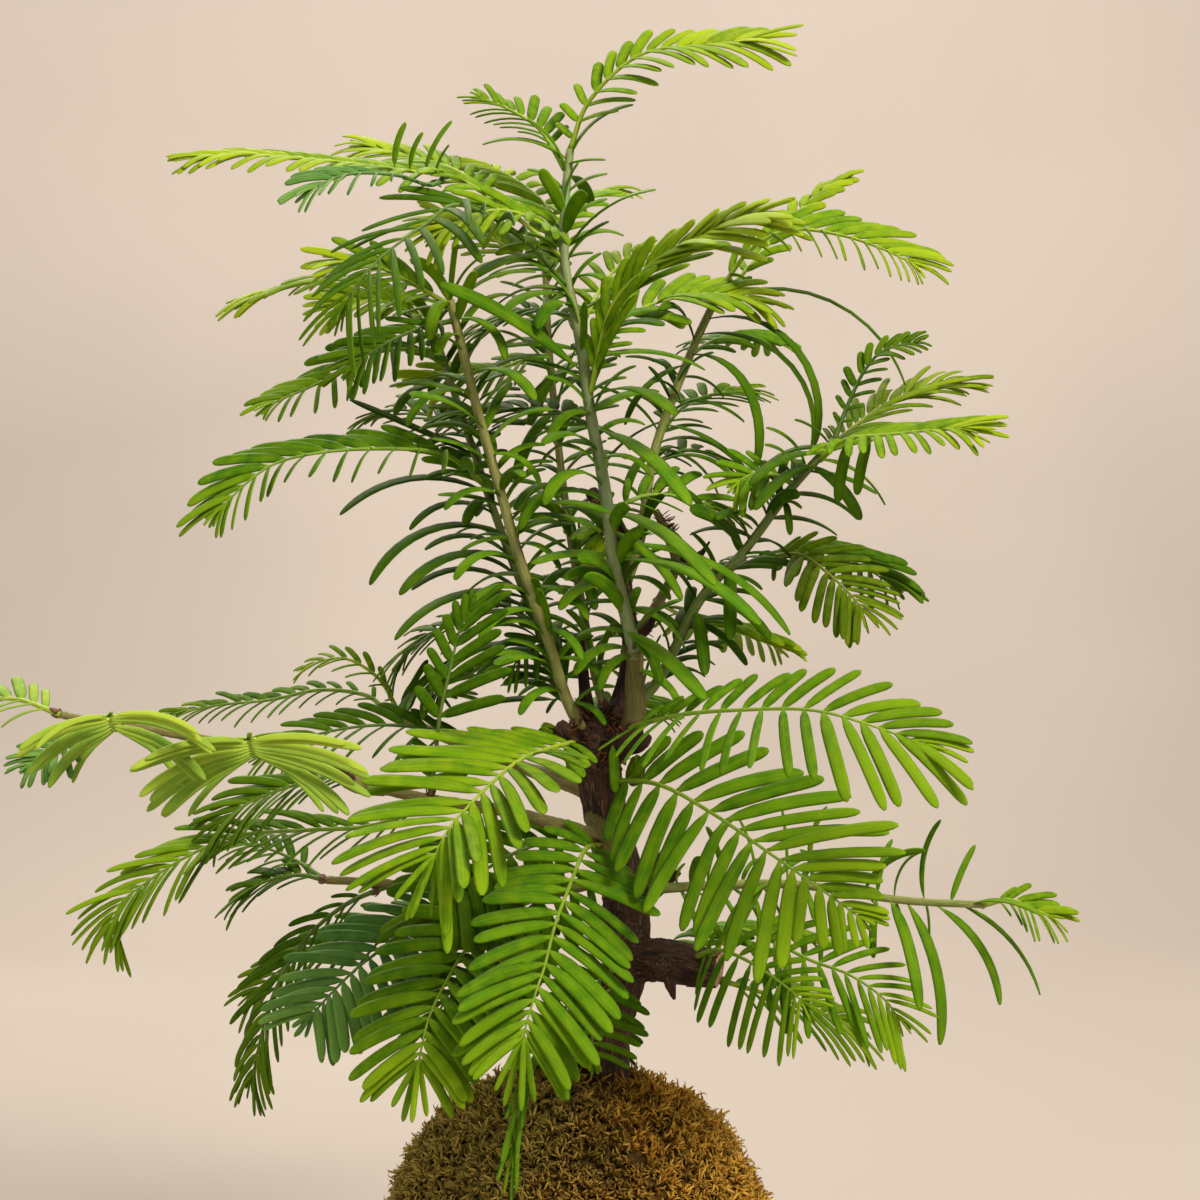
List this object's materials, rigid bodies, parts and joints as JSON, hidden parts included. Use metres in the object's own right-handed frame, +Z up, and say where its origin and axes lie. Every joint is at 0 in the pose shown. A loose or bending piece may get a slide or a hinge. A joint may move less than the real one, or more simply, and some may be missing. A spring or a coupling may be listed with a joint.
{
  "type": "dawn redwood bonsai",
  "caption": "Young dawn redwood tree with soft feathery fronds on a short thick trunk, rooted in a mossy mound in a round stoneware bowl.",
  "frame": {"origin": "middle of the bowl's flat base", "axes": "+Z up along the trunk, -Y towards the front of the tree, +X to its right as seen from the front"},
  "size_m": [0.2108, 0.1309, 0.2851],
  "materials": {
    "stoneware": "unglazed brown stoneware, matt",
    "soil": "dark granular potting soil",
    "moss": "golden brown moss in small tufts",
    "stone": "blue-grey pebble, matt",
    "bark": "dark reddish-brown flaking bark",
    "green_stem": "smooth tan-green young stem",
    "leaf_fresh": "soft yellow-green leaf, light sheen",
    "leaf_mid": "soft mid-green leaf, light sheen",
    "leaf_dark": "soft dark-green leaf, light sheen",
    "leaf_blue": "soft bluish-green leaf, light sheen",
    "leaf_olive": "soft olive-green leaf, light sheen"
  },
  "bodies": {
    "root": {"bowl": "stoneware", "soil": "soil", "moss": "moss", "stone": "stone", "trunk": "bark", "stem_leader": "green_stem", "stem_left_front": "green_stem", "stem_left_back": "green_stem", "stem_right": "green_stem", "stem_upper_right": "green_stem", "stem_back": "green_stem", "stem_right_twig": "green_stem", "frond_crown_right": "leaf_fresh", "frond_crown_left": "leaf_mid", "frond_upper_left_long": "leaf_fresh", "frond_upper_left_blue": "leaf_blue", "frond_arch_left": "leaf_dark", "frond_left_light": "leaf_fresh", "frond_left_middle": "leaf_mid", "frond_left_drooping": "leaf_mid", "frond_crown_back_left": "leaf_fresh", "frond_crown_inner": "leaf_fresh", "frond_right_top_front": "leaf_fresh", "frond_right_top_outer": "leaf_fresh", "frond_right_top_back": "leaf_fresh", "frond_right_upright": "leaf_dark", "frond_right_olive": "leaf_olive", "frond_right_bright": "leaf_fresh", "frond_right_dark": "leaf_dark", "frond_right_behind": "leaf_fresh", "frond_big_right_upper": "leaf_mid", "frond_big_right_lower": "leaf_mid", "frond_right_twig_tip": "leaf_fresh", "frond_low_right_front": "leaf_mid", "frond_low_right_back": "leaf_mid", "frond_front_big": "leaf_mid", "frond_front_left_upper": "leaf_fresh", "frond_front_left_lower": "leaf_fresh", "frond_left_blue": "leaf_blue", "frond_left_under": "leaf_dark", "frond_left_inner": "leaf_dark", "frond_left_hanging": "leaf_dark", "frond_left_far": "leaf_mid", "frond_low_left_tip": "leaf_dark", "frond_back_left_tip": "leaf_mid", "frond_back_left_light": "leaf_fresh", "frond_long_left_inner": "leaf_fresh", "frond_long_left_outer": "leaf_fresh", "frond_long_left_blue": "leaf_blue", "frond_long_left_tip": "leaf_fresh", "frond_young_upright": "leaf_dark", "frond_centre_left_dark": "leaf_dark", "frond_centre_low_left": "leaf_dark", "frond_low_behind": "leaf_dark", "frond_low_hanging": "leaf_mid", "frond_back_high": "leaf_fresh", "frond_back_right": "leaf_mid", "frond_back_low_right": "leaf_mid", "frond_back_low_left": "leaf_dark", "frond_back_middle": "leaf_mid"}
  },
  "joints": []
}
